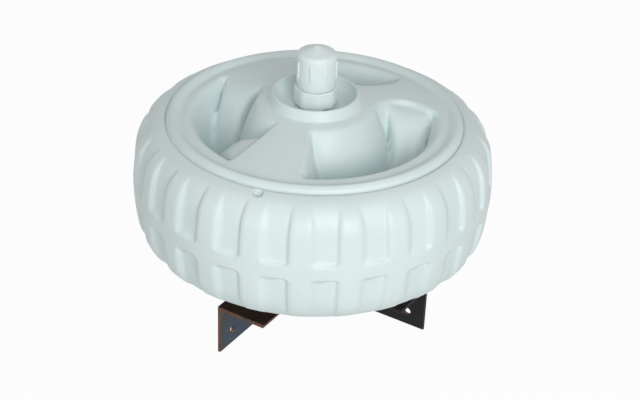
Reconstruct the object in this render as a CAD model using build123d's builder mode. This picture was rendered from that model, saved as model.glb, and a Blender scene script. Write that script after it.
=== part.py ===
from build123d import *
import math
import os

os.makedirs("parts", exist_ok=True)

# Lengths are in millimetres and angles in degrees.
# The origin lies on the wheel's axis, on the dock's top face. The bracket's legs run along -X and -Y.

# Steel corner bracket
flange_width = 70.0
flange_thickness = 5.0
flange_root_radius = 6.0
flange_toe_radius = 2.5
leg_length = 195.0
bolt_hole_diameter = 11.0
bolt_hole_to_leg_end = 25.0
bolt_hole_below_top = 49.0
weld_size = 5.0

# Axle post, a steel pipe
post_diameter = 42.2
post_wall = 3.6
slip_fit = 0.2

# Spacer below the hub, and keeper above it
spacer_height = 24.0
spacer_diameter = 64.0
weld_relief = 0.6
keeper_height = 24.0
keeper_corner_diameter = 56.0
keeper_sides = 8
keeper_turn = 38.0
keeper_edge_radius = 4.0
hub_running_gap = 0.3

# Ribbed cap
cap_diameter = 50.4
cap_skirt_diameter = 46.6
cap_skirt_height = 14.0
cap_side_height = 33.0
cap_crown_height = 11.0
cap_shoulder_radius = 3.0
cap_wall = 2.4
cap_rib_count = 8
cap_rib_turn = 16.0
cap_rib_width = 3.2
cap_rib_height = 1.6

# Wheel, one moulding
wheel_diameter = 457.0
bore_clearance = 2.3
hub_core_length = 208.0
collar_height = 16.3
collar_inner_diameter = 102.6
collar_land = 3.0
collar_foot_diameter = 116.6
collar_foot_height = 3.0
collar_edge_radius = 1.3
spoke_drop = 22.0
ridge_inner_inset = 59.5
ridge_inset = 50.5
ridge_outer_inset = 44.2
ridge_rise = 5.5
groove_inset = 42.0
groove_depth = 3.0
groove_width = 4.0
shoulder_drop = 7.2
crown_half_width = 46.0
crown_drop = 4.0

# Tread recesses, in two rows
tread_count = 24
tread_turn = 6.0
tread_depth = 5.0
tread_floor_width = 24.0
tread_draft = 40.0
tread_band = 18.0
tread_end_run = 3.0
tread_fade_place = 0.82
tread_fade_lift = 3.0

# Pockets in each face of the wheel: start and end angle, rim corner radius at each end,
# and how far the flanks run in, as a share of the pocket's length from hub to rim
pockets = [
    (81.0, 170.0, 12.0, 20.0, 0.473),
    (209.0, 308.5, 14.0, 32.0, 0.473),
    (-13.5, 44.0, 20.0, 14.0, 0.189),
]
pocket_hub_radius = 77.0
pocket_rim_inset = 67.0
pocket_wall_run = 8.0
pocket_hub_corner = 14.0
pocket_floor_corner = 9.0
pocket_flank_bulge_share = 0.1065
pocket_corner_limit_share = 0.4
pocket_floor_gap = 32.0
pocket_lip_radius = 6.0

# Moulding dimple, placed along the shoulder's curve
dimple_diameter = 12.5
dimple_depth = 4.0
dimple_place = 0.87
dimple_turn = 193.0

# Levels and radii that follow from the sizes above
post_radius = post_diameter / 2
bore_radius = post_radius + bore_clearance / 2
hub_core_half = hub_core_length / 2
hub_bottom = flange_thickness + spacer_height + hub_running_gap
wheel_middle = hub_bottom + hub_core_half
keeper_bottom = wheel_middle + hub_core_half + hub_running_gap
cap_bottom = keeper_bottom + keeper_height
cap_shoulder = cap_bottom + cap_skirt_height + cap_side_height
cap_top = cap_shoulder + cap_crown_height
post_top = cap_shoulder - cap_wall
wheel_radius = wheel_diameter / 2
collar_inner_radius = collar_inner_diameter / 2
collar_foot_radius = collar_foot_diameter / 2
collar_top = hub_core_half + collar_height
foot_level = hub_core_half + collar_foot_height
ridge_inner_radius = wheel_radius - ridge_inner_inset
groove_radius = wheel_radius - groove_inset
ridge_inner_level = foot_level - spoke_drop
ridge_level = ridge_inner_level + ridge_rise
shoulder_level = ridge_level - shoulder_drop
groove_level = shoulder_level - groove_depth
mouth_level = (foot_level + ridge_inner_level) / 2
pocket_length = wheel_radius - pocket_rim_inset - pocket_hub_radius
floor_level = pocket_floor_gap / 2
floor_radius = wheel_radius - tread_depth
band_half = tread_band / 2
end_slope = tread_end_run / tread_depth

# Planes: two upright ones through the axis, backwards and forwards, the wheel's middle, and the mitre
upright_plane = Plane(origin=(0, 0, wheel_middle), x_dir=(-1, 0, 0), z_dir=(0, 1, 0))
forward_plane = Plane(origin=(0, 0, wheel_middle), x_dir=(1, 0, 0), z_dir=(0, -1, 0))
middle_plane = Plane.XY.offset(wheel_middle)
mitre_plane = Plane(origin=(0, 0, 0), x_dir=(1, 1, 0), z_dir=(-1, 1, 0))


# One leg of the bracket is an equal steel angle, mitred where it meets the other
with BuildPart() as left_leg:
    half = flange_width / 2
    drop = flange_width - flange_thickness
    with BuildSketch(Plane.YZ.offset(half)) as angle_section:
        with BuildLine():
            Polyline(
                (-half, 0),
                (-half, flange_thickness),
                (half, flange_thickness),
                (half, -drop),
                (half - flange_thickness, -drop),
                (half - flange_thickness, 0),
                close=True,
            )
        make_face()
        corners = angle_section.vertices()
        fillet(corners.sort_by_distance((half - flange_thickness, 0))[0], flange_root_radius)
        corners = angle_section.vertices()
        fillet(corners.sort_by_distance((-half, 0))[0], flange_toe_radius)
        corners = angle_section.vertices()
        fillet(corners.sort_by_distance((half - flange_thickness, -drop))[0], flange_toe_radius)
    extrude(amount=-leg_length)
    split(bisect_by=mitre_plane, keep=Keep.TOP)
    hole_x = half - leg_length + bolt_hole_to_leg_end
    hole_z = flange_thickness - bolt_hole_below_top
    with Locations(Location((hole_x, half, hole_z), (90, 0, 0))):
        Hole(radius=bolt_hole_diameter / 2, depth=flange_thickness * 2)
left_leg.part.label = "left_leg"
export_step(left_leg.part, "parts/left_leg.step")


# The other leg is its mirror image about the mitre
with BuildPart() as right_leg:
    mirror(left_leg.part, about=mitre_plane)
right_leg.part.label = "right_leg"
export_step(right_leg.part, "parts/right_leg.step")


# A bead closes the mitre along the bracket's outer corner
with BuildPart() as corner_weld:
    bead_centre = half - weld_size / 4
    with BuildSketch(Plane.XY.offset(flange_thickness)) as bead_section:
        with Locations((bead_centre, bead_centre)):
            Circle(weld_size / 2)
        with Locations((half, half)):
            Rectangle(flange_width, flange_width, align=(Align.MAX, Align.MAX), mode=Mode.SUBTRACT)
    extrude(amount=-flange_width)
corner_weld.part.label = "corner_weld"
export_step(corner_weld.part, "parts/corner_weld.step")


# The post is a pipe that stands on both legs
with BuildPart() as post:
    with BuildSketch(Plane.XY.offset(flange_thickness)) as pipe_section:
        Circle(post_radius)
        Circle(post_radius - post_wall, mode=Mode.SUBTRACT)
    extrude(amount=post_top - flange_thickness)
post.part.label = "post"
export_step(post.part, "parts/post.step")


# Its fillet weld runs round the foot
with BuildPart() as post_weld:
    with BuildSketch(Plane.XZ) as weld_section:
        with BuildLine():
            Polyline(
                (post_radius, flange_thickness),
                (post_radius + weld_size, flange_thickness),
                (post_radius, flange_thickness + weld_size),
                close=True,
            )
        make_face()
    revolve(axis=Axis.Z)
post_weld.part.label = "post_weld"
export_step(post_weld.part, "parts/post_weld.step")


# The spacer between the bracket and the hub clears the weld at the post's foot
with BuildPart() as spacer:
    with BuildSketch(Plane.XY.offset(flange_thickness)) as spacer_section:
        Circle(spacer_diameter / 2)
        Circle(post_radius + slip_fit, mode=Mode.SUBTRACT)
    extrude(amount=spacer_height)
    bore_edges = spacer.edges().group_by(Axis.Z)[0].sort_by(SortBy.LENGTH)
    chamfer(bore_edges[0], length=weld_size + weld_relief)
spacer.part.label = "spacer"
export_step(spacer.part, "parts/spacer.step")


# The keeper over the hub is eight-sided, with a rounded lower edge
with BuildPart() as keeper:
    with BuildSketch(Plane.XY.offset(keeper_bottom)) as keeper_section:
        RegularPolygon(keeper_corner_diameter / 2, keeper_sides, rotation=keeper_turn)
    extrude(amount=keeper_height)
    fillet(keeper.edges().group_by(Axis.Z)[0], radius=keeper_edge_radius)
    with BuildSketch(Plane.XY.offset(keeper_bottom)) as keeper_bore:
        Circle(post_radius + slip_fit)
    extrude(amount=keeper_height, mode=Mode.SUBTRACT)
keeper.part.label = "keeper"
export_step(keeper.part, "parts/keeper.step")


# The cap closes the post's top, with a narrow skirt, ribbed sides and a low crown
with BuildPart() as cap:
    cap_radius = cap_diameter / 2
    skirt_top = cap_bottom + cap_skirt_height
    with BuildSketch(Plane.XZ) as cap_section:
        with BuildLine():
            TangentArc((cap_radius, skirt_top), (cap_skirt_diameter / 2, cap_bottom), tangent=(0, -1))
            Line((cap_skirt_diameter / 2, cap_bottom), (0, cap_bottom))
            Line((0, cap_bottom), (0, cap_top))
            TangentArc((0, cap_top), (cap_radius, cap_shoulder), tangent=(1, 0))
            Line((cap_radius, cap_shoulder), (cap_radius, skirt_top))
        make_face()
        shoulder = cap_section.vertices().sort_by_distance((cap_radius, cap_shoulder))[0]
        fillet(shoulder, cap_shoulder_radius)
    revolve(axis=Axis.Z)
    rib_centre = cap_radius + cap_rib_height - cap_rib_width / 2
    rib_bottom = skirt_top + cap_rib_width
    rib_top = cap_shoulder - cap_shoulder_radius
    with PolarLocations(rib_centre, cap_rib_count, start_angle=cap_rib_turn):
        with Locations((0, 0, rib_bottom)):
            Sphere(cap_rib_width / 2)
            Cylinder(cap_rib_width / 2, rib_top - rib_bottom, align=(Align.CENTER, Align.CENTER, Align.MIN))
        with Locations((0, 0, rib_top)):
            Sphere(cap_rib_width / 2)
    with BuildSketch(Plane.XY.offset(cap_bottom)) as cap_bore:
        Circle(post_radius + slip_fit)
    extrude(amount=post_top - cap_bottom, mode=Mode.SUBTRACT)
cap.part.label = "cap"
export_step(cap.part, "parts/cap.step")


# A point at a radius and an angle about the wheel's axis
def polar(radius, angle):
    return Vector(radius * math.cos(math.radians(angle)), radius * math.sin(math.radians(angle)))


# A pocket's outline at a level above the wheel's middle, wide at the mouth and narrow at the floor
def pocket_outline(pocket, level):
    start, end, start_corner, end_corner, run_share = pocket
    depth = (mouth_level - level) / (mouth_level - floor_level)
    hub_side = pocket_hub_radius + pocket_wall_run * depth
    rim_side = wheel_radius - pocket_rim_inset - pocket_wall_run * depth
    flank_run = run_share * pocket_length * depth
    hub_lean = math.degrees(math.asin(flank_run / hub_side))
    rim_lean = math.degrees(math.asin(flank_run / rim_side))
    bulge = pocket_flank_bulge_share * pocket_length * depth
    corner_limit = pocket_corner_limit_share * (rim_side - hub_side)
    start_hub = polar(hub_side, start + hub_lean)
    start_rim = polar(rim_side, start + rim_lean)
    end_hub = polar(hub_side, end - hub_lean)
    end_rim = polar(rim_side, end - rim_lean)
    middle = (start + end) / 2
    roundings = (
        (start_hub, pocket_hub_corner),
        (end_hub, pocket_hub_corner),
        (start_rim, start_corner),
        (end_rim, end_corner),
    )
    with BuildSketch(middle_plane.offset(level)) as outline:
        with BuildLine():
            ThreePointArc(start_hub, polar(hub_side, middle), end_hub)
            ThreePointArc(end_hub, (end_hub + end_rim) / 2 + polar(bulge, end - 90), end_rim)
            ThreePointArc(end_rim, polar(rim_side, middle), start_rim)
            ThreePointArc(start_rim, (start_hub + start_rim) / 2 + polar(bulge, start + 90), start_hub)
        make_face()
        for point, mouth_corner in roundings:
            corner = outline.vertices().sort_by_distance(point)[0]
            corner_radius = pocket_floor_corner * depth + mouth_corner * (1 - depth)
            fillet(corner, min(corner_radius, corner_limit))
    return outline.sketch


# The solid that a pocket removes, with its twin in the other face
def pocket_solid(pocket):
    with BuildPart() as hollow:
        loft([pocket_outline(pocket, floor_level), pocket_outline(pocket, foot_level)])
        mirror(about=middle_plane)
    return hollow.part


# The tyre's outer curve, from its widest line to the groove
with BuildLine() as tyre_outline:
    crown = TangentArc((wheel_radius, 0), (wheel_radius - crown_drop, crown_half_width), tangent=(0, 1))
    shoulder = TangentArc(crown @ 1, (groove_radius + groove_width / 2, shoulder_level), tangent=crown % 1)


# A unit vector that points out of the shoulder, square to its curve
def shoulder_normal(place):
    along = shoulder % place
    return Vector(along.Y, -along.X)


# The solid that two facing tread recesses remove: bars with sloping sides, bent along the crown
with BuildPart() as recess:
    floor_start = (floor_radius, band_half)
    floor_crown = (floor_radius - crown_drop, crown_half_width)
    fade = shoulder @ tread_fade_place + shoulder_normal(tread_fade_place) * tread_fade_lift
    with BuildLine(forward_plane) as floor_path:
        floor_line = Line(floor_start, floor_crown)
        TangentArc(floor_line @ 1, forward_plane.from_local_coords(fade), tangent=floor_line % 1)
    bar_height = 2 * tread_depth + tread_fade_lift
    side_run = bar_height * math.tan(math.radians(tread_draft))
    floor_half = tread_floor_width / 2
    with BuildSketch(Plane(floor_line @ 0, x_dir=(0, -1, 0), z_dir=floor_line % 0)) as bar_section:
        with BuildLine():
            Polyline(
                (-floor_half, 0),
                (floor_half, 0),
                (floor_half + side_run, bar_height),
                (-floor_half - side_run, bar_height),
                close=True,
            )
        make_face()
    sweep(path=floor_path.line)
    with BuildSketch(upright_plane) as band_section:
        inner_radius = floor_radius - bar_height
        outer_radius = floor_radius + bar_height
        with BuildLine():
            Polyline(
                (inner_radius, 0),
                (outer_radius, 0),
                (outer_radius, band_half - (bar_height - tread_depth) * end_slope),
                (inner_radius, band_half + (bar_height + tread_depth) * end_slope),
                close=True,
            )
        make_face()
    revolve(axis=Axis.Z, mode=Mode.SUBTRACT)
    mirror(about=middle_plane)


# The wheel is one moulding, the same above and below its middle
with BuildPart() as wheel:
    with BuildSketch(upright_plane) as wheel_section:
        bowl_start = (collar_inner_radius - collar_height, hub_core_half)
        ridge_start = (ridge_inner_radius, ridge_inner_level)
        ridge_crest = (wheel_radius - ridge_inset, ridge_level)
        ridge_end = (wheel_radius - ridge_outer_inset, ridge_level - ridge_rise / 2)
        with BuildLine():
            Polyline((bore_radius, 0), (bore_radius, hub_core_half), bowl_start)
            TangentArc(bowl_start, (collar_inner_radius, collar_top), tangent=(1, 0))
            Polyline(
                (collar_inner_radius, collar_top),
                (collar_inner_radius + collar_land, collar_top),
                (collar_foot_radius, foot_level),
                ridge_start,
            )
            ThreePointArc(ridge_start, ridge_crest, ridge_end)
            Polyline(ridge_end, (groove_radius, groove_level), shoulder @ 1)
            add(tyre_outline.line)
            mirror(about=Plane.XZ)
        make_face()
        land_corners = wheel_section.vertices().filter_by_position(
            Axis.X, collar_inner_radius, collar_inner_radius + collar_land
        )
        fillet(land_corners, collar_edge_radius)
    revolve(axis=Axis.Z)
    for pocket in pockets:
        add(pocket_solid(pocket), mode=Mode.SUBTRACT)
    spoke_faces = wheel.faces().filter_by(GeomType.CONE).sort_by(SortBy.AREA)[-2:]
    lips = [edge for face in spoke_faces for wire in face.inner_wires() for edge in wire.edges()]
    fillet(lips, radius=pocket_lip_radius)
    spot = shoulder @ dimple_place
    lean = shoulder_normal(dimple_place)
    spot_centre = polar(spot.X, dimple_turn) + Vector(0, 0, wheel_middle + spot.Y)
    spot_direction = polar(lean.X, dimple_turn) + Vector(0, 0, lean.Y)
    with BuildSketch(Plane(spot_centre, z_dir=spot_direction).offset(dimple_depth)) as dimple_section:
        Circle(dimple_diameter / 2)
    extrude(amount=-2 * dimple_depth, mode=Mode.SUBTRACT)
    with PolarLocations(0, tread_count, start_angle=tread_turn):
        add(recess.part, mode=Mode.SUBTRACT, clean=False)
wheel.part.label = "wheel"
export_step(wheel.part, "parts/wheel.step")
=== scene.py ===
import math

import bmesh
import bpy
from mathutils import Matrix, Vector


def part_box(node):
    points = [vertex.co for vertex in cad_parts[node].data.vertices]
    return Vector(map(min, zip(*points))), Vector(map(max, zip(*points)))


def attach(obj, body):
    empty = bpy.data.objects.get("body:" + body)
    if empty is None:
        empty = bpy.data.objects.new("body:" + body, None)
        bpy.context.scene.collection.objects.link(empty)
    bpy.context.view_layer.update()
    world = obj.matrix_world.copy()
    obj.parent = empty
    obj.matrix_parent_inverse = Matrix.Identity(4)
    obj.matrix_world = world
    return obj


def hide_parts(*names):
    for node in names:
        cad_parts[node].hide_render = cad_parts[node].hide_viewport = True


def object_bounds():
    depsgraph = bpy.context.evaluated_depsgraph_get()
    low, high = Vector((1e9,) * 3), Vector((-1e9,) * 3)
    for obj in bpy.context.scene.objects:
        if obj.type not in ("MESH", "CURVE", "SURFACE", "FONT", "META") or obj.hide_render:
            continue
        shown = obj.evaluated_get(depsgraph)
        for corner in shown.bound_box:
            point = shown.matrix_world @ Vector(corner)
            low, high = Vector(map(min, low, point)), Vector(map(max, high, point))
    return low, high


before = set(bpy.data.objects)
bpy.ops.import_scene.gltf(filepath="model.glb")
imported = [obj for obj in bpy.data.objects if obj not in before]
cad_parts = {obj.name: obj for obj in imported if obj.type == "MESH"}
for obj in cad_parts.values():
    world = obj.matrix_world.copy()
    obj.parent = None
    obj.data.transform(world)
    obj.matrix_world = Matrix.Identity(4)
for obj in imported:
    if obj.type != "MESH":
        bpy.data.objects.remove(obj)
cadLow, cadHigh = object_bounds()
print("frame loaded")

mm = 0.001  # the pieces' sizes are in millimetres, the finishes' and lamps' in metres


# Node trees. Wire is one socket with arithmetic on it, Graph adds the nodes.
class Wire:
    def __init__(self, graph, socket):
        self.graph = graph
        self.socket = socket

    def __add__(self, other):
        return self.graph.math("ADD", self, other)

    def __radd__(self, other):
        return self.graph.math("ADD", other, self)

    def __sub__(self, other):
        return self.graph.math("SUBTRACT", self, other)

    def __rsub__(self, other):
        return self.graph.math("SUBTRACT", other, self)

    def __mul__(self, other):
        return self.graph.math("MULTIPLY", self, other)

    def __rmul__(self, other):
        return self.graph.math("MULTIPLY", other, self)

    def __truediv__(self, other):
        return self.graph.math("DIVIDE", self, other)

    def __rtruediv__(self, other):
        return self.graph.math("DIVIDE", other, self)

    def __pow__(self, other):
        return self.graph.math("POWER", self, other)

    def __rpow__(self, other):
        return self.graph.math("POWER", other, self)

    def __neg__(self):
        return self.graph.math("MULTIPLY", self, -1.0)

    def __abs__(self):
        return self.graph.math("ABSOLUTE", self)


class Graph:
    def __init__(self, tree):
        self.tree = tree
        tree.nodes.clear()

    def node(self, kind, inputs=None, output=0, **settings):
        made = self.tree.nodes.new(kind)
        for name, value in settings.items():
            setattr(made, name, value)
        for name, value in (inputs or {}).items():
            if isinstance(value, Wire):
                self.tree.links.new(value.socket, made.inputs[name])
            else:
                made.inputs[name].default_value = value
        return Wire(self, made.outputs[output])

    def math(self, operation, *values):
        return self.node("ShaderNodeMath", dict(enumerate(values)), operation=operation)

    def step(self, value, low, high):  # 0 below low, 1 above high, smooth between
        inputs = {"Value": value, "From Min": low, "From Max": high}
        return self.node("ShaderNodeMapRange", inputs, interpolation_type="SMOOTHSTEP")

    def mix(self, factor, first, second):  # of two colours
        return self.node("ShaderNodeMix", {0: factor, 6: first, 7: second}, 2, data_type="RGBA")

    def noise(self, where, scale, detail, roughness):
        inputs = {"Vector": where, "Scale": scale, "Detail": detail, "Roughness": roughness}
        return self.node("ShaderNodeTexNoise", inputs)

    def bump(self, height, distance, strength, under=None):  # on top of another bump, if given
        inputs = {"Height": height, "Distance": distance, "Strength": strength}
        if under:
            inputs["Normal"] = under
        return self.node("ShaderNodeBump", inputs)

    def axes(self, vector):
        return [self.node("ShaderNodeSeparateXYZ", {0: vector}, axis) for axis in range(3)]

    def place(self, x, y, z):
        return self.node("ShaderNodeCombineXYZ", {0: x, 1: y, 2: z})

    def end(self, kind, wire):  # the tree's last node
        self.tree.links.new(wire.socket, self.tree.nodes.new(kind).inputs[0])


def linked(name, data):  # a new object in the scene
    made = bpy.data.objects.new(name, data)
    bpy.context.scene.collection.objects.link(made)
    return made


def meshObject(name, places, faces=()):
    mesh = bpy.data.meshes.new(name)
    mesh.from_pydata(places, [], faces)
    return linked(name, mesh)


ringMerge = 0.02  # millimetres


# One sector set side by side, this many times in a full turn, and joined
def turnedAround(graph, sector, count):
    points = graph.node("GeometryNodePoints", {"Count": count})
    index = graph.node("GeometryNodeInputIndex")
    turn = graph.node("ShaderNodeCombineXYZ", {2: index * (2 * math.pi / count)})
    inputs = {"Points": points, "Instance": sector, "Rotation": turn}
    ring = graph.node("GeometryNodeInstanceOnPoints", inputs)
    ring = graph.node("GeometryNodeRealizeInstances", {0: ring})
    return graph.node("GeometryNodeMergeByDistance", {"Geometry": ring, "Distance": ringMerge})


# A geometry tree with named inputs; what each input is set to goes on the modifier by its identifier
def newTree(name, inputs):
    tree = bpy.data.node_groups.new(name, "GeometryNodeTree")
    graph = Graph(tree)
    entry = tree.nodes.new("NodeGroupInput")
    given, values = {}, {}
    for place, (label, kind, value) in enumerate(inputs):
        socket = tree.interface.new_socket(label, in_out="INPUT", socket_type=kind)
        values[socket.identifier] = value
        given[label] = Wire(graph, entry.outputs[place])
    tree.interface.new_socket("Geometry", in_out="OUTPUT", socket_type="NodeSocketGeometry")
    return graph, given, values


# The object that a tree makes
def treeResult(name, graph, values, geometry, material):
    geometry = graph.node("GeometryNodeRealizeInstances", {0: geometry})
    geometry = graph.node("GeometryNodeSetMaterial", {"Geometry": geometry, "Material": material})
    graph.end("NodeGroupOutput", geometry)
    carrier = meshObject(name + "Carrier", [])
    modifier = carrier.modifiers.new("build", "NODES")
    modifier.node_group = graph.tree
    for identifier, value in values.items():
        modifier[identifier] = value
    bpy.context.view_layer.update()
    evaluated = carrier.evaluated_get(bpy.context.evaluated_depsgraph_get())
    mesh = bpy.data.meshes.new_from_object(evaluated)
    mesh.name = name
    made = linked(name, mesh)
    carrier.modifiers.remove(modifier)
    bpy.data.objects.remove(carrier)
    print(name, len(mesh.vertices), "vertices", len(mesh.polygons), "faces")
    return made


# Finishes
def newMaterial(name):
    material = bpy.data.materials.new(name)
    material.use_nodes = True
    return material, Graph(material.node_tree)


def finishMaterial(graph, colour, roughness, bump, fixed=None):
    inputs = {"Base Color": colour, "Roughness": roughness, "Normal": bump}
    inputs.update(fixed or {})
    graph.end("ShaderNodeOutputMaterial", graph.node("ShaderNodeBsdfPrincipled", inputs))


# A noise is its scale, detail and roughness; colours are a pale and a deep one
plasticLook = {
    "wheelColours": ((0.728, 0.832, 0.827, 1.0), (0.682, 0.79, 0.785, 1.0)),
    "capColours": ((0.78, 0.87, 0.865, 1.0), (0.75, 0.845, 0.84, 1.0)),
    "cloudNoise": (7.0, 4.0, 0.55),
    "cloudRange": (0.3, 0.7),
    "cloudRoughness": 0.16,
    "speckNoise": (260.0, 2.0, 0.5),
    "speckRange": (0.66, 0.74),
    "speckTint": (0.6, 0.6, 0.58),
    "speckShare": 0.12,
    "waveNoise": (26.0, 1.0, 0.5),
    "waveHeight": 0.0006,
    "peelNoise": (420.0, 2.0, 0.5),
    "peelHeight": 0.00006,
    "bumpStrength": 0.5,
    "roughness": 0.46,
}


# Moulded polyethylene: faint clouds in the colour, small specks, a slight orange peel and waviness
def makePlastic(name, pale, deep):
    look = plasticLook
    material, graph = newMaterial(name)
    where = graph.node("ShaderNodeTexCoord", output="Object")
    clouds = graph.noise(where, *look["cloudNoise"])
    specks = graph.step(graph.noise(where, *look["speckNoise"]), *look["speckRange"])
    speckColour = [part * tint for part, tint in zip(deep, look["speckTint"])] + [1.0]
    colour = graph.mix(graph.step(clouds, *look["cloudRange"]), deep, pale)
    colour = graph.mix(specks * look["speckShare"], colour, speckColour)
    roughness = look["roughness"] + (clouds - 0.5) * look["cloudRoughness"]
    strength = look["bumpStrength"]
    waves = graph.bump(graph.noise(where, *look["waveNoise"]), look["waveHeight"], strength)
    peel = graph.bump(graph.noise(where, *look["peelNoise"]), look["peelHeight"], strength, waves)
    finishMaterial(graph, colour, roughness, peel)
    return material


# Each pair runs from where a thing starts to where it is full: a range of noise, a facing of the
# surface, a reach along the leg, or a height above or depth below the dock's top. Shares weigh what
# is added up.
steelLook = {
    "scaleColour": (0.028, 0.056, 0.100, 1.0),
    "darkColour": (0.006, 0.006, 0.007, 1.0),
    "greenColour": (0.034, 0.045, 0.040, 1.0),
    "rustColour": (0.030, 0.011, 0.004, 1.0),
    "edgeColour": (0.150, 0.078, 0.052),
    # shadedEdge is painted shade: the edge colour of a leg painted as if in full shadow
    "shadedEdge": (0.036, 0.031, 0.032),
    "dustColour": (0.24, 0.19, 0.16, 1.0),
    "holeColour": (0.42, 0.22, 0.12, 1.0),
    # how much painted shade each leg's finish gets; the right leg is painted dark as if in shadow
    "paintedShades": {"left": 0.0, "right": 0.95, "post": 0.3},
    "patchNoise": (14.0, 3.0, 0.5),
    "blotchNoise": (49.0, 5.0, 0.65),
    "grainNoise": (240.0, 4.0, 0.6),
    "patchRange": (0.40, 0.62),
    "upFacing": (0.4, 0.8),
    "endFacing": (0.6, 0.9),
    "toeFacing": (0.3, 0.7),
    "topHeights": (-0.0015, 0.0005),
    "bottomDepths": (0.058, 0.060),
    "outerReach": (0.10, 0.20),
    "rustShares": (0.5, 0.22, 0.16),
    "rustRange": (0.42, 0.60),
    "dustShares": (0.55, 0.45),
    "dustRange": (0.56, 0.70),
    "dustCover": 0.25,
    "wornShares": (0.6, 0.4),
    "wornRange": (0.30, 0.52),
    # shadedRust, shadedWear and shadedHole set how far painted shade fades rust, wear and hole colour
    "shadedRust": 0.6,
    "shadedWear": 0.55,
    "holeFacing": (0.75, 0.55),
    "holeTopDepths": (0.036, 0.037),
    "holeBottomDepths": (0.060, 0.058),
    "holeCover": 0.8,
    "shadedHole": 0.5,
    "metallic": 0.1,
    "specular": 0.22,
    "roughness": 0.44,
    "rustRoughness": 0.25,
    "grainRoughness": 0.2,
    "rustHeight": 0.6,
    "bumpHeight": 0.0003,
    "bumpStrength": 0.6,
}


# Mill-scaled steel of a leg that runs along one axis: blue-grey on its dock side, dark on its top,
# rusty on its rolled edges, its sawn end and in its bolt hole. Shade is painted shade: at 1 a leg is
# painted dark as if in full shadow, with its rust, dust, wear and hole colour faded.
def makeSteel(name, along, across, shade):
    look = steelLook
    material, graph = newMaterial(name)
    where = graph.node("ShaderNodeTexCoord", output="Object")
    places = graph.axes(where)
    facing = graph.axes(graph.node("ShaderNodeNewGeometry", output="Normal"))
    patches = graph.noise(where, *look["patchNoise"])
    blotches = graph.noise(where, *look["blotchNoise"])
    grain = graph.noise(where, *look["grainNoise"])
    upward = graph.step(facing[2], *look["upFacing"])
    sawn = graph.step(-facing[along], *look["endFacing"])
    toe = graph.step(-facing[across], *look["toeFacing"]) * graph.step(places[2], *look["topHeights"])
    lowest = graph.step(-facing[2], *look["toeFacing"]) * graph.step(-places[2], *look["bottomDepths"])
    edge = graph.math("MAXIMUM", sawn, graph.math("MAXIMUM", toe, lowest))
    # painted shade moves the edge colour towards shadedEdge
    edgeColour = [a + (b - a) * shade for a, b in zip(look["edgeColour"], look["shadedEdge"])] + [1.0]
    colour = graph.mix(graph.step(patches, *look["patchRange"]), look["scaleColour"], look["greenColour"])
    # painted shade: a shaded leg is darkened to darkColour all over; the top is darkened too
    colour = graph.mix(graph.math("MAXIMUM", shade, upward), colour, look["darkColour"])
    outer = graph.step(-places[along], *look["outerReach"])  # the rust is thickest near the leg's end
    shares = look["rustShares"]
    rust = graph.step(blotches * shares[0] + upward * shares[1] + outer * shares[2], *look["rustRange"])
    # painted shade fades the rust here, and the dust, wear and hole colour below
    rust = rust * (1.0 - shade * look["shadedRust"])
    colour = graph.mix(rust, colour, look["rustColour"])
    shares = look["dustShares"]
    dust = graph.step(grain * shares[0] + blotches * shares[1], *look["dustRange"])
    colour = graph.mix(dust * look["dustCover"] * (1.0 - shade), colour, look["dustColour"])
    shares = look["wornShares"]
    worn = edge * graph.step(blotches * shares[0] + grain * shares[1], *look["wornRange"])
    worn = worn * (1.0 - shade * look["shadedWear"])
    colour = graph.mix(worn, colour, graph.mix(dust * (1.0 - shade), edgeColour, look["dustColour"]))
    hole = graph.step(abs(facing[across]), *look["holeFacing"]) * (1.0 - sawn)
    hole = hole * graph.step(-places[2], *look["holeTopDepths"])
    hole = hole * graph.step(-places[2], *look["holeBottomDepths"])
    colour = graph.mix(hole * (look["holeCover"] - shade * look["shadedHole"]), colour, look["holeColour"])
    roughness = look["roughness"] + (rust + edge) * look["rustRoughness"]
    roughness = roughness + (grain - 0.5) * look["grainRoughness"]
    height = grain + rust * look["rustHeight"] + edge
    bump = graph.bump(height, look["bumpHeight"], look["bumpStrength"])
    fixed = {"Metallic": look["metallic"], "Specular IOR Level": look["specular"]}
    finishMaterial(graph, colour, roughness, bump, fixed)
    return material


wheelPlastic = makePlastic("wheelPlastic", *plasticLook["wheelColours"])
capPlastic = makePlastic("capPlastic", *plasticLook["capColours"])
# left, right and post steel are one finish with different amounts of painted shade
leftSteel = makeSteel("leftSteel", 0, 1, steelLook["paintedShades"]["left"])
rightSteel = makeSteel("rightSteel", 1, 0, steelLook["paintedShades"]["right"])
postSteel = makeSteel("postSteel", 0, 1, steelLook["paintedShades"]["post"])
print("finishes made")


# The wheel's section, from the tyre's widest line over the upper face to the bore, as (radius, height)
# from the wheel's middle. Rows are runs of first, last and count, or a count, or single heights.
wheelLow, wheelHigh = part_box("wheel")
wheelMiddle = (wheelLow.z + wheelHigh.z) / 2 / mm

wheelSection = {
    "radius": 228.5,
    "crown": (224.5, 46.0),
    "shoulder": (188.5, 83.3),
    "groove": (186.5, 80.3),
    "ridgeOuter": (184.3, 87.75),
    "ridgeCrest": (178.0, 90.5),
    "ridgeInner": (169.0, 85.0),
    "beforeFoot": (61.0, 106.5),
    "foot": (58.3, 107.0),
    "landOuter": (54.3, 120.3),
    "landInner": (51.3, 120.3),
    "bowl": (35.0, 104.0),
    "bore": 22.25,
    "edge": 1.6,
    "ridgeEdge": 2.24,
    "landEdge": 1.44,
    "tyreRows": ((0.0, 4.5, 2), (7.0, 16.0, 10), (21.0, 46.0, 5)),
    "shoulderRows": 17,
    "cornerRows": 3,
    "ridgeCornerRows": 4,
    "ridgeRows": (0.3, 1.0, 6),
    "faceRows": ((167.5, 142.0, 16), (137.5, 98.0, 9), (94.5, 71.0, 13), (67.0, 61.5, 2)),
    "bowlRows": 8,
    "boreRows": (80.0, 40.0),
}


def spread(first, last, count):
    return [first + (last - first) * i / (count - 1) for i in range(count)]


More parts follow.
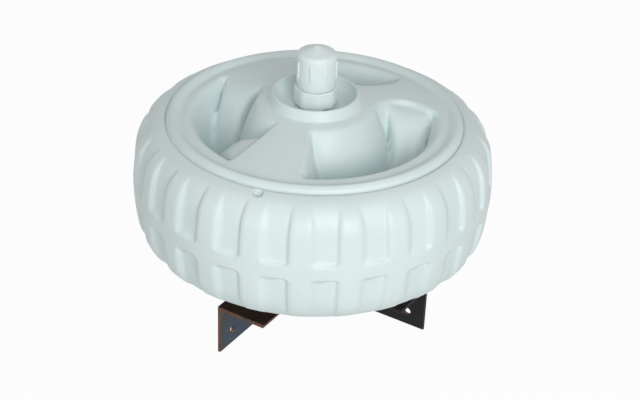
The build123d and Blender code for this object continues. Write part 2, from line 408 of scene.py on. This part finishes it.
def spreads(runs):
    return [value for run in runs for value in spread(*run)]


# Points of the arc that leaves a point in a direction and ends at another point
def tangentArc(start, direction, end, count):
    start, direction, end = Vector(start), Vector(direction).normalized(), Vector(end)
    chord = end - start
    side = Vector((-direction.y, direction.x))
    radius = chord.length_squared / (2 * chord.dot(side))
    centre = start + side * radius
    turn = 2 * math.atan2(chord.dot(side), chord.dot(direction))
    spoke = start - centre
    return [centre + Matrix.Rotation(turn * i / (count - 1), 2) @ spoke for i in range(count)]


def roundedCorner(before, corner, after, radius, count):  # a corner taken by a small curve
    before, corner, after = Vector(before), Vector(corner), Vector(after)
    start = corner + (before - corner).normalized() * radius
    end = corner + (after - corner).normalized() * radius
    return [
        start * (1 - t) ** 2 + corner * 2 * t * (1 - t) + end * t**2
        for t in spread(0.0, 1.0, count)
    ]


def sectionPoints(sizes):
    bore, edge, landEdge = sizes["bore"], sizes["edge"], sizes["landEdge"]
    cornerRows = sizes["cornerRows"]
    crown = Vector(sizes["crown"])
    drop = sizes["radius"] - crown.x
    crownRadius = (drop**2 + crown.y**2) / (2 * drop)
    crownCentre = sizes["radius"] - crownRadius
    heights = spreads(sizes["tyreRows"])
    points = [Vector((crownCentre + math.sqrt(crownRadius**2 - z**2), z)) for z in heights]
    heading = Vector((-crown.y, crown.x - crownCentre))
    shoulder = tangentArc(crown, heading, sizes["shoulder"], sizes["shoulderRows"])
    points += shoulder[1:-1]
    points += roundedCorner(shoulder[-2], sizes["shoulder"], sizes["groove"], edge, cornerRows)
    points.append(Vector(sizes["groove"]))
    ridge = [Vector(sizes[name]) for name in ("ridgeOuter", "ridgeCrest", "ridgeInner")]
    points += roundedCorner(sizes["groove"], *ridge[:2], sizes["ridgeEdge"], sizes["ridgeCornerRows"])
    points += [
        ridge[0] * (1 - t) * (1 - 2 * t) + ridge[1] * 4 * t * (1 - t) + ridge[2] * t * (2 * t - 1)
        for t in spread(*sizes["ridgeRows"])
    ]
    slope = (Vector(sizes["foot"]) - ridge[2]) / (sizes["foot"][0] - ridge[2].x)
    points += [ridge[2] + slope * (radius - ridge[2].x) for radius in spreads(sizes["faceRows"])]
    points += roundedCorner(sizes["beforeFoot"], sizes["foot"], sizes["landOuter"], edge, cornerRows)
    points += roundedCorner(sizes["foot"], sizes["landOuter"], sizes["landInner"], landEdge, cornerRows)
    bowlArc = tangentArc(sizes["bowl"], (1.0, 0.0), sizes["landInner"], sizes["bowlRows"])
    points += roundedCorner(sizes["landOuter"], sizes["landInner"], bowlArc[-2], landEdge, cornerRows)
    points += bowlArc[-2::-1]
    points += roundedCorner(sizes["bowl"], (bore, sizes["bowl"][1]), (bore, 0.0), edge, cornerRows)
    points += [Vector((bore, z)) for z in sizes["boreRows"]]
    return points


upper = sectionPoints(wheelSection)
middleOfBore = Vector((wheelSection["bore"], 0.0))
lower = [Vector((p.x, -p.y)) for p in reversed(upper[1:])]
section = upper + [middleOfBore] + lower + [upper[0]]

# One pitch of the tread, as fractions of it, closer together at the recess's two walls
pitchStops = [-0.5, -0.40] + spread(-0.31, -0.15, 7) + [-0.06, 0.05, 0.14]
pitchStops += spread(0.20, 0.31, 6) + [0.40, 0.5]

treadSizes = {
    "count": 24,
    "turn": 6.0,
    "depth": 5.0,
    "halfWidth": 17.6,
    "bandEdge": 8.2,
    "corner": 7.0,
    "gentleRun": 8.5,
    "steepRun": 4.2,
    "runChange": 7.04,
    "floorBlend": 2.0,
    "edgeBlend": 0.8,
    "fadeStart": 44.0,
    "fadeEnd": 78.0,
    "leanHeight": 110.0,
}


# One pitch of the wheel without its pockets: a grid of section rows and pitch columns, with a recess
# of the tread pressed into each half
def treadSector(graph, given, rowCount, columnCount):
    tread = treadSizes
    grid = graph.node("GeometryNodeMeshGrid", {"Vertices X": columnCount, "Vertices Y": rowCount})
    index = graph.node("GeometryNodeInputIndex")
    position = graph.node("GeometryNodeInputPosition")

    def sample(name, place):
        geometry = graph.node("GeometryNodeObjectInfo", {"Object": given[name]}, "Geometry")
        inputs = {"Geometry": geometry, "Value": position, "Index": place}
        found = graph.node("GeometryNodeSampleIndex", inputs, data_type="FLOAT_VECTOR", clamp=True)
        return graph.axes(found)

    radius, height = sample("Rows", graph.math("MODULO", index, float(rowCount)))[::2]
    share = sample("Columns", graph.math("FLOOR", index / float(rowCount)))[0]
    pitch = 2 * math.pi / given["Tread count"]
    across = share * pitch * (wheelSection["radius"] - tread["depth"])
    along = abs(height)
    past = abs(across) - (tread["halfWidth"] - tread["corner"])
    below = tread["bandEdge"] + tread["corner"] - along
    beyond = graph.math("MAXIMUM", past, 0.0), graph.math("MAXIMUM", below, 0.0)
    inset = tread["corner"] - graph.math("SQRT", beyond[0] * beyond[0] + beyond[1] * beyond[1])
    inset = inset - graph.math("MINIMUM", graph.math("MAXIMUM", past, below), 0.0)
    steep = graph.step(across, -tread["runChange"], tread["runChange"])
    run = tread["gentleRun"] + (tread["steepRun"] - tread["gentleRun"]) * steep
    fade = (along - tread["fadeStart"]) / (tread["fadeEnd"] - tread["fadeStart"])
    fade = graph.math("MAXIMUM", fade, 0.0)
    floor = given["Tread depth"] * (1.0 - fade * fade)
    recess = graph.math("SMOOTH_MIN", floor, inset / run * given["Tread depth"], tread["floorBlend"])
    onTyre = graph.math("GREATER_THAN", radius, wheelSection["shoulder"][0])
    recess = graph.math("SMOOTH_MAX", recess, 0.0, tread["edgeBlend"]) * onTyre
    lean = graph.math("MINIMUM", along / tread["leanHeight"], 1.0)  # the shoulder's go in at a slant
    radius = radius - recess * graph.math("SQRT", 1.0 - lean * lean)
    height = height - recess * lean * graph.math("SIGN", height)
    angle = share * pitch + given["Tread turn"]
    place = graph.place(radius * graph.math("COSINE", angle), radius * graph.math("SINE", angle), height)
    return graph.node("GeometryNodeSetPosition", {"Geometry": grid, "Position": place})


# The two flanks of each pocket. Run is the length of the wall's fall, power how fast it falls, lobe
# how far the lobe stands out of it, reach the lobe's half width, square how upright its sides are,
# step the drop under the lip, arch how far the mouth's corners are cut back, corner how soft they are.
pocketFlanks = [
    (
        {"angle": 77.0, "run": 24.0, "lobe": 46.0, "reach": 31.0, "square": 3.0,
         "power": 2.5, "step": 2.0, "arch": 12.0, "corner": 12.0},
        {"angle": 173.5, "run": 22.0, "lobe": 62.0, "reach": 28.0, "square": 4.0,
         "power": 2.4, "step": 9.0, "arch": 2.0, "corner": 8.0},
    ),
    (
        {"angle": 206.5, "run": 22.0, "lobe": 0.0, "reach": 28.0, "square": 4.0,
         "power": 1.3, "step": 0.0, "arch": 0.0, "corner": 14.0},
        {"angle": 319.0, "run": 22.0, "lobe": 48.0, "reach": 28.0, "square": 4.0,
         "power": 2.4, "step": 7.0, "arch": 32.0, "corner": 12.0},
    ),
    (
        {"angle": 342.0, "run": 24.0, "lobe": 30.0, "reach": 28.0, "square": 4.0,
         "power": 2.2, "step": 6.0, "arch": 12.0, "corner": 14.0},
        {"angle": 408.0, "run": 26.0, "lobe": 20.0, "reach": 28.0, "square": 4.0,
         "power": 2.0, "step": 3.0, "arch": 14.0, "corner": 24.0},
    ),
]

pocketSizes = {
    "depth": 75.0,
    "floor": 12.0,
    "hubEdge": 69.5,
    "hubRun": 30.0,
    "hubPower": 1.7,
    "rimEdge": 163.5,
    "rimRun": 29.0,
    "rimPower": 2.6,
    "lobeRadius": 120.0,
    "stepReach": (-1.0, 5.0),
    "archMiddle": 112.0,
    "archReach": 45.0,
    "archLimit": 1.2,
    "cornerReach": 30.0,
    "creaseBlend": 6.0,
    "creaseStart": 26.0,
    "creaseFade": 18.0,
    "fadeDepths": (24.0, 80.0),
    "furrow": 8.0,
    "furrowReach": 34.0,
    "furrowStart": (4.0, 22.0),
    "furrowEnd": (90.0, 25.0),
    "floorBlend": 30.0,
    "lipBlend": 3.0,
}


# The pockets are levels: each wall falls from the mouth, walls blend where they meet, a furrow runs
# along a crease, and the face takes the lowest level. The result is in metres, at its place.
def cutPockets(graph, given, ring):
    pocket = pocketSizes
    x, y, z = graph.axes(graph.node("GeometryNodeInputPosition"))
    distance = graph.math("SQRT", x * x + y * y)
    level = abs(z)

    def wall(inset, run, power, drop=0.0):  # a wall's level where it lies this far in from the mouth
        share = inset / run
        fall = given["Pocket depth"] * (graph.math("SIGN", share) * abs(share) ** power)
        return level - fall - drop * graph.step(inset, *pocket["stepReach"])

    def flankWall(inset, flank):  # the wall's run is longer where its lobe stands out
        offset = abs(distance - given["Lobe middle"]) / flank["reach"]
        lobe = graph.math("MAXIMUM", 1.0 - offset ** flank["square"], 0.0)
        return wall(inset, flank["run"] + lobe * flank["lobe"], flank["power"], flank["step"])

    hubWall = wall(distance - pocket["hubEdge"], pocket["hubRun"], pocket["hubPower"])
    rimWall = wall(pocket["rimEdge"] - distance, pocket["rimRun"], pocket["rimPower"])
    aside = (distance - pocket["archMiddle"]) / pocket["archReach"]
    arch = graph.math("MINIMUM", aside * aside, pocket["archLimit"])
    surface = level
    for first, last in pocketFlanks:
        start, end = math.radians(first["angle"]), math.radians(last["angle"])
        fromStart = y * math.cos(start) - x * math.sin(start) - arch * first["arch"]
        fromEnd = x * math.sin(end) - y * math.cos(end) - arch * last["arch"]
        startWall, endWall = flankWall(fromStart, first), flankWall(fromEnd, last)
        late = graph.step(fromStart - fromEnd, -pocket["cornerReach"], pocket["cornerReach"])
        corner = first["corner"] + late * (last["corner"] - first["corner"])
        sides = graph.math("MAXIMUM", hubWall, rimWall)
        flanks = graph.math("MAXIMUM", startWall, endWall)
        depth = level - graph.math("MAXIMUM", sides, flanks)
        blend = corner + (pocket["creaseBlend"] - corner) * graph.step(depth, 0.0, pocket["creaseStart"])
        blend = blend + pocket["creaseFade"] * graph.step(depth, *pocket["fadeDepths"])
        sides = graph.math("SMOOTH_MAX", hubWall, rimWall, blend)
        flanks = graph.math("SMOOTH_MAX", startWall, endWall, blend)
        hollow = graph.math("SMOOTH_MAX", sides, flanks, blend)
        crease = graph.math("MAXIMUM", 1.0 - abs(sides - flanks) / pocket["furrowReach"], 0.0)
        crease = crease * crease * graph.step(depth, *pocket["furrowStart"])
        hollow = hollow - crease * graph.step(depth, *pocket["furrowEnd"]) * pocket["furrow"]
        hollow = graph.math("SMOOTH_MAX", hollow, pocket["floor"], pocket["floorBlend"])
        surface = graph.math("SMOOTH_MIN", surface, hollow, pocket["lipBlend"])
    onFace = graph.math("LESS_THAN", distance, wheelSection["ridgeOuter"][0])
    onFace = onFace * graph.math("GREATER_THAN", distance, wheelSection["landOuter"][0])
    level = level + (surface - level) * onFace
    place = graph.place(x * mm, y * mm, (level * graph.math("SIGN", z) + given["Middle"]) * mm)
    return graph.node("GeometryNodeSetPosition", {"Geometry": ring, "Position": place})


dimpleSizes = {
    "angle": 193.0,
    "place": (194.0, 81.5),
    "lean": 65.0,
    "diameter": 12.5,
    "floorDiameter": 11.0,
    "depth": 4.0,
    "segments": 28,
}


# The small round dimple in the tyre's shoulder
def cutDimple(moulding):
    sizes = dimpleSizes
    angle, lean = math.radians(sizes["angle"]), math.radians(sizes["lean"])
    radius, height = sizes["place"]
    around = Vector((math.cos(angle), math.sin(angle), 0.0))
    centre = around * radius * mm + Vector((0, 0, (wheelMiddle + height) * mm))
    direction = around * math.cos(lean) + Vector((0, 0, math.sin(lean)))
    bm = bmesh.new()
    bmesh.ops.create_cone(
        bm,
        cap_ends=True,
        segments=sizes["segments"],
        radius1=sizes["floorDiameter"] * mm / 2,
        radius2=sizes["diameter"] * mm / 2,
        depth=sizes["depth"] * 2 * mm,
    )
    turn = direction.to_track_quat("Z", "Y").to_matrix().to_4x4()
    bmesh.ops.transform(bm, matrix=Matrix.Translation(centre) @ turn, verts=bm.verts)
    mesh = bpy.data.meshes.new("dimpleTool")
    bm.to_mesh(mesh)
    bm.free()
    mesh.materials.append(wheelPlastic)
    tool = linked("dimpleTool", mesh)
    cut = moulding.modifiers.new("dimple", "BOOLEAN")
    cut.operation = "DIFFERENCE"
    cut.solver = "EXACT"
    cut.object = tool
    evaluated = moulding.evaluated_get(bpy.context.evaluated_depsgraph_get())
    cutMesh = bpy.data.meshes.new_from_object(evaluated)
    moulding.modifiers.remove(cut)
    moulding.data = cutMesh
    bpy.data.objects.remove(tool)


def makeWheel():
    rows = meshObject("sectionRows", [(p.x, 0.0, p.y) for p in section])
    columns = meshObject("pitchColumns", [(x, 0.0, 0.0) for x in pitchStops])
    inputs = [
        ("Rows", "NodeSocketObject", rows),
        ("Columns", "NodeSocketObject", columns),
        ("Tread count", "NodeSocketInt", treadSizes["count"]),
        ("Tread depth", "NodeSocketFloat", treadSizes["depth"]),
        ("Tread turn", "NodeSocketFloat", math.radians(treadSizes["turn"])),
        ("Pocket depth", "NodeSocketFloat", pocketSizes["depth"]),
        ("Lobe middle", "NodeSocketFloat", pocketSizes["lobeRadius"]),
        ("Middle", "NodeSocketFloat", wheelMiddle),
    ]
    graph, given, values = newTree("moulding", inputs)
    sector = treadSector(graph, given, len(section), len(pitchStops))
    ring = cutPockets(graph, given, turnedAround(graph, sector, given["Tread count"]))
    ring = graph.node("GeometryNodeSetShadeSmooth", {"Geometry": ring})
    wheel = treeResult("wheelMoulding", graph, values, ring, wheelPlastic)
    bpy.data.objects.remove(rows)
    bpy.data.objects.remove(columns)
    cutDimple(wheel)
    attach(wheel, "wheel")
    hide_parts("wheel")


makeWheel()
print("wheel made")


# A node's lowest and highest level
def levels(node):
    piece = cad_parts[node]
    heights = [(piece.matrix_world @ Vector(corner)).z / mm for corner in piece.bound_box]
    return min(heights), max(heights)


# A piece of equal sectors about the wheel's axis: rows of points for one of them, turned all round
def sectorPiece(name, node, rows, count):
    width = len(rows[0])
    faces = []
    for i in range(len(rows) - 1):
        for j in range(i * width, (i + 1) * width - 1):
            faces.append((j, j + 1, j + width + 1, j + width))
    sector = meshObject(name + "Sector", [place for row in rows for place in row], faces)
    inputs = [("Sector", "NodeSocketObject", sector), ("Count", "NodeSocketInt", count)]
    graph, given, values = newTree(name, inputs)
    one = graph.node("GeometryNodeObjectInfo", {"Object": given["Sector"]}, "Geometry")
    ring = turnedAround(graph, one, given["Count"])
    ring = graph.node("GeometryNodeTransform", {"Geometry": ring, "Scale": (mm, mm, mm)})
    ring = graph.node("GeometryNodeSetShadeSmooth", {"Geometry": ring})
    piece = treeResult(name, graph, values, ring, capPlastic)
    bpy.data.objects.remove(sector)
    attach(piece, "bracket")
    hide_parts(node)


keeperSizes = {
    "sides": 8,
    "cornerTurn": 38.0,
    "cornerRadius": 11.0,
    "leastRadius": 0.5,
    "apothem": 25.8,
    "bore": 21.2,
    "lowerEdge": 4.0,
    "upperEdge": 1.4,
    "edgeMargin": 1.0,
    "flatStop": 0.85,
    "cornerStops": 7,
    "lowerStops": 7,
    "upperStops": 5,
}


# The keeper: a ring with eight flats, all its edges rounded
def makeKeeper():
    sizes = keeperSizes
    lower, upper, margin = sizes["lowerEdge"], sizes["upperEdge"], sizes["edgeMargin"]
    bottom, top = levels("keeper")
    half = math.pi / sizes["sides"]
    turn = Matrix.Rotation(math.radians(sizes["cornerTurn"]), 2)

    def outline(inset):  # one corner and half a flat on either side of it
        apothem = sizes["apothem"] - inset
        rounding = max(sizes["cornerRadius"] - inset, sizes["leastRadius"])
        centre = (apothem - rounding) / math.cos(half)
        angles = spread(-half, half, sizes["cornerStops"])
        arc = [Vector((centre + rounding * math.cos(a), rounding * math.sin(a))) for a in angles]
        first = Vector((math.cos(half), -math.sin(half))) * apothem
        last = Vector((math.cos(half), math.sin(half))) * apothem
        before = [first, first.lerp(arc[0], sizes["flatStop"])]
        after = [last.lerp(arc[-1], sizes["flatStop"]), last]
        return before + arc + after

    def placed(points, height):
        spun = [turn @ point for point in points]
        return [(point.x, point.y, height) for point in spun]

    bore = [point.normalized() * sizes["bore"] for point in outline(0.0)]
    rows = [placed(bore, bottom)]
    for angle in spread(0.0, math.pi / 2, sizes["lowerStops"]):
        inset = lower * (1 - math.sin(angle))
        rows.append(placed(outline(inset), bottom + lower * (1 - math.cos(angle))))
    rows.append(placed(outline(0.0), bottom + lower + margin))
    rows.append(placed(outline(0.0), top - upper - margin))
    for angle in spread(0.0, math.pi / 2, sizes["upperStops"]):
        inset = upper * (1 - math.cos(angle))
        rows.append(placed(outline(inset), top - upper * (1 - math.sin(angle))))
    rows.append(placed(bore, top))
    rows.append(rows[0])
    sectorPiece("keeperRing", "keeper", rows, sizes["sides"])


# Stops of a rib are distances from its middle line
capSizes = {
    "ribs": 8,
    "ribTurn": 16.0,
    "ribHalf": 1.6,
    "ribStart": 16.0,
    "ribEnd": 36.0,
    "ribStops": (1.9, 1.6, 1.52, 1.3, 0.95, 0.5, 0.0),
    "gapStops": 9,
    "radius": 25.2,
    "footRadius": 12.0,
    "skirtRadius": 23.3,
    "skirtHeight": 14.0,
    "skirtStops": 7,
    "shoulder": 45.0,
    "shoulderRadius": 5.0,
    "shoulderStops": 6,
    "crownDrop": 2.6,
    "crownStops": (0.2, 0.4, 0.6, 0.8, 0.93, 1.0),
    "crownMargin": 0.001,
    "facetDepth": 0.035,
}


# The cap: ribs on its side, and a low crown of eight faint facets
def makeCap():
    sizes = capSizes
    bottom, top = levels("cap")
    radius, stops = sizes["radius"], sizes["ribStops"]
    apex = top - sizes["crownDrop"]
    pitch = 2 * math.pi / sizes["ribs"]
    edge = stops[0] / radius
    angles = [-stop / radius for stop in stops] + [stop / radius for stop in stops[-2::-1]]
    angles += spread(edge, pitch - edge, sizes["gapStops"])[1:]
    skirtStart, skirtEnd = (radius, sizes["skirtHeight"]), (sizes["skirtRadius"], 0.0)
    skirt = tangentArc(skirtStart, (0.0, -1.0), skirtEnd, sizes["skirtStops"])
    before = Vector((radius, sizes["ribEnd"]))
    corner = Vector((radius, sizes["shoulder"]))
    after = Vector((0.0, apex - bottom))
    crown = roundedCorner(before, corner, after, sizes["shoulderRadius"], sizes["shoulderStops"])
    rows = [(0.0, 0.0), (sizes["footRadius"], 0.0)] + [tuple(point) for point in reversed(skirt)]
    rows += [(radius, sizes["ribStart"] - stop) for stop in stops]
    rows += [(radius, sizes["ribEnd"] + stop) for stop in reversed(stops)]
    rows += [tuple(point) for point in crown]
    rows += [tuple(crown[-1].lerp(after, share)) for share in sizes["crownStops"]]
    grid = []
    for distance, height in rows:
        past = max(sizes["ribStart"] - height, height - sizes["ribEnd"], 0.0)
        onCrown = height > crown[-1].y - sizes["crownMargin"]
        row = []
        for angle in angles:
            across = min(abs(angle), abs(pitch - angle)) * radius
            out = distance + math.sqrt(max(sizes["ribHalf"] ** 2 - across**2 - past**2, 0.0))
            facet = sizes["facetDepth"] * (1 - math.cos(angle * sizes["ribs"])) / 2
            lower = 1.0 + facet if onCrown else 1.0
            around = angle + math.radians(sizes["ribTurn"])
            level = apex - (apex - bottom - height) * lower
            row.append((out * math.cos(around), out * math.sin(around), level))
        grid.append(row)
    sectorPiece("capMoulding", "cap", grid, sizes["ribs"])


makeKeeper()
makeCap()
print("keeper and cap made")

# The other pieces keep the frame's meshes and get a finish
nodeFinishes = {
    "left_leg": leftSteel,
    "right_leg": rightSteel,
    "corner_weld": postSteel,
    "post": postSteel,
    "post_weld": postSteel,
    "spacer": capPlastic,
}
for node, material in nodeFinishes.items():
    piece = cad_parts[node]
    piece.data.materials.clear()
    piece.data.materials.append(material)
print("nodes finished")


# Floor, lights and camera
stageLook = {
    "floorSize": 24.0,
    "floorGap": 0.0003,
    "floorColour": (0.72, 0.73, 0.73, 1.0),
    "white": (1.0, 1.0, 1.0, 1.0),
    "glow": 0.96,
    "worldLight": 0.42,
}


# 1 where the camera sees a thing straight, in a reflection or through it, 0 where it only lights
def seenRays(graph):
    kinds = ("Is Camera Ray", "Is Glossy Ray", "Is Transmission Ray")
    rays = [graph.node("ShaderNodeLightPath", output=kind) for kind in kinds]
    return graph.math("MINIMUM", rays[0] + rays[1] + rays[2], 1.0)


def makeStage():
    look = stageLook
    size = look["floorSize"] / 2
    level = cadLow.z - look["floorGap"]
    corners = [(-size, -size, level), (size, -size, level), (size, size, level), (-size, size, level)]
    floor = meshObject("floor", corners, [(0, 1, 2, 3)])
    material, graph = newMaterial("floorPaint")
    paint = graph.node("ShaderNodeBsdfDiffuse", {"Color": look["floorColour"]})
    glow = graph.node("ShaderNodeEmission", {"Color": look["white"], "Strength": 1.0})
    mixed = graph.node("ShaderNodeMixShader", {0: seenRays(graph) * look["glow"], 1: paint, 2: glow})
    graph.end("ShaderNodeOutputMaterial", mixed)
    floor.data.materials.append(material)

    world = bpy.data.worlds.new("studio")
    bpy.context.scene.world = world
    world.use_nodes = True
    graph = Graph(world.node_tree)
    strength = look["worldLight"] + seenRays(graph) * (1.0 - look["worldLight"])
    shade = graph.node("ShaderNodeBackground", {"Color": look["white"], "Strength": strength})
    graph.end("ShaderNodeOutputWorld", shade)


# Softboxes: direction from the part in degrees, distance and size in metres, power in watts
lampSizes = {
    "key": {"azimuth": 228.0, "elevation": 24.0, "distance": 2.6, "size": 1.5, "power": 34.0},
    "fill": {"azimuth": 165.0, "elevation": 20.0, "distance": 2.6, "size": 1.6, "power": 5.0},
}


def makeLamps():
    target = Vector((0, 0, wheelMiddle * mm))
    for name, sizes in lampSizes.items():
        lamp = bpy.data.lights.new(name, "AREA")
        lamp.shape = "DISK"
        lamp.size = sizes["size"]
        lamp.energy = sizes["power"]
        azimuth, elevation = math.radians(sizes["azimuth"]), math.radians(sizes["elevation"])
        flat = math.cos(elevation)
        direction = Vector((flat * math.cos(azimuth), flat * math.sin(azimuth), math.sin(elevation)))
        made = linked(name, lamp)
        made.location = target + direction * sizes["distance"]
        made.rotation_euler = direction.to_track_quat("Z", "Y").to_euler()


# Angles in degrees, the rest in millimetres; side, back and rise from the wheel's middle
cameraView = {
    "turn": -59.0,
    "pitch": 31.369,
    "roll": 2.313,
    "lens": 82.36,
    "sensor": 36.0,
    "side": 10.74,
    "back": -1621.7,
    "rise": 951.1,
}


def makeCamera():
    view = cameraView
    camera = linked("camera", bpy.data.cameras.new("camera"))
    camera.data.lens = view["lens"]
    camera.data.sensor_width = view["sensor"]
    turn = Matrix.Rotation(math.radians(view["turn"]), 4, "Z")
    place = turn @ (Vector((view["side"], view["back"], view["rise"] + wheelMiddle)) * mm)
    tilt = Matrix.Rotation(math.radians(90.0 - view["pitch"]), 4, "X")
    roll = Matrix.Rotation(math.radians(view["roll"]), 4, "Z")
    camera.matrix_world = Matrix.Translation(place) @ turn @ tilt @ roll
    bpy.context.scene.camera = camera


makeStage()
makeLamps()
makeCamera()
bpy.context.scene.view_settings.view_transform = "Standard"
print("stage, lamps and camera made")
